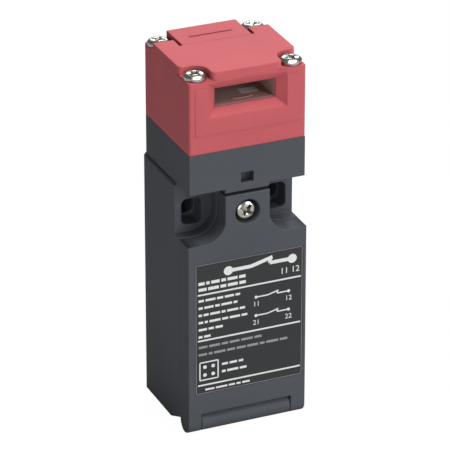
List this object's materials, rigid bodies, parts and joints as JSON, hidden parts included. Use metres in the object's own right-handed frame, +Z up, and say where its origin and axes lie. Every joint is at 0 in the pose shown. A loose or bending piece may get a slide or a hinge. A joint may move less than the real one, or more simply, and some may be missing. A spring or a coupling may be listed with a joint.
{
  "type": "tongue interlock switch",
  "caption": "Slim guard door interlock switch: grey wiring case with hinged screw-down cover, red key-operated head, internal cam, plunger and contact block.",
  "frame": {"origin": "on the plane of the flat bottom, under the middle of the switch's box", "axes": "+X to the right seen from the cover, +Y towards the mounting wall, +Z up towards the head"},
  "size_m": [0.031, 0.0286, 0.0954],
  "materials": {
    "grey_plastic": "fine moulded satin, dark blue-grey",
    "red_plastic": "fine moulded satin, muted red",
    "nickel": "bright nickel plate",
    "spring_steel": "drawn steel",
    "brass": "stamped, slightly dull",
    "silver": "contact silver",
    "rubber": "soft black seal rubber",
    "cam_plastic": "dark glass-filled plastic",
    "guide_plastic": "dark grey-brown plastic",
    "white_plastic": "self-lubricating white plastic",
    "block_plastic": "glass-filled black plastic"
  },
  "bodies": {
    "base": {"case": "grey_plastic", "cover_screw_insert": "brass", "head_housing": "red_plastic", "key_guide": "guide_plastic", "head_gasket": "rubber", "head_screws": "nickel", "cam_shaft": "spring_steel", "plunger_seal": "rubber", "contact_housing": "block_plastic", "fixed_contacts": "silver", "terminals": "brass", "terminal_clamps": "nickel", "terminal_screws": "nickel", "housing_screws": "nickel", "return_spring": "spring_steel"},
    "cover": {"cover": "grey_plastic", "cover_gasket": "rubber"},
    "lock": {"cover_screw": "nickel", "cover_screw_ring": "spring_steel"},
    "closure": {"head_cap": "red_plastic"},
    "cam": {"operating_cam": "cam_plastic"},
    "slider": {"plunger": "white_plastic", "contact_carrier": "white_plastic", "contact_bridges": "brass", "bridge_contacts": "silver", "bridge_springs": "spring_steel"}
  },
  "joints": [
    {"name": "cover_hinge", "type": "hinge", "parent": "base", "child": "cover", "pos_m": [0, -0.0116, 0.00265], "axis": [1, 0, 0], "range_deg": [0, 90]},
    {"name": "cover_screw_slide", "type": "slide", "parent": "cover", "child": "lock", "axis": [0, -1, 0], "range_m": [0, 0.00225]},
    {"name": "closure_slide", "type": "slide", "parent": "base", "child": "closure", "axis": [0, 0, 1], "range_m": [0, 0.009]},
    {"name": "cam_turn", "type": "hinge", "parent": "base", "child": "cam", "pos_m": [0, 0.0046, 0.0826], "axis": [-1, 0, 0], "range_deg": [0, 55]},
    {"name": "plunger_slide", "type": "slide", "parent": "base", "child": "slider", "axis": [0, 0, 1], "range_m": [0, 0.0025], "deforming": ["return_spring"]}
  ],
  "couplings": [
    {"joint": "cam_turn", "follows": "plunger_slide", "rad_per_m": 383.97}
  ]
}
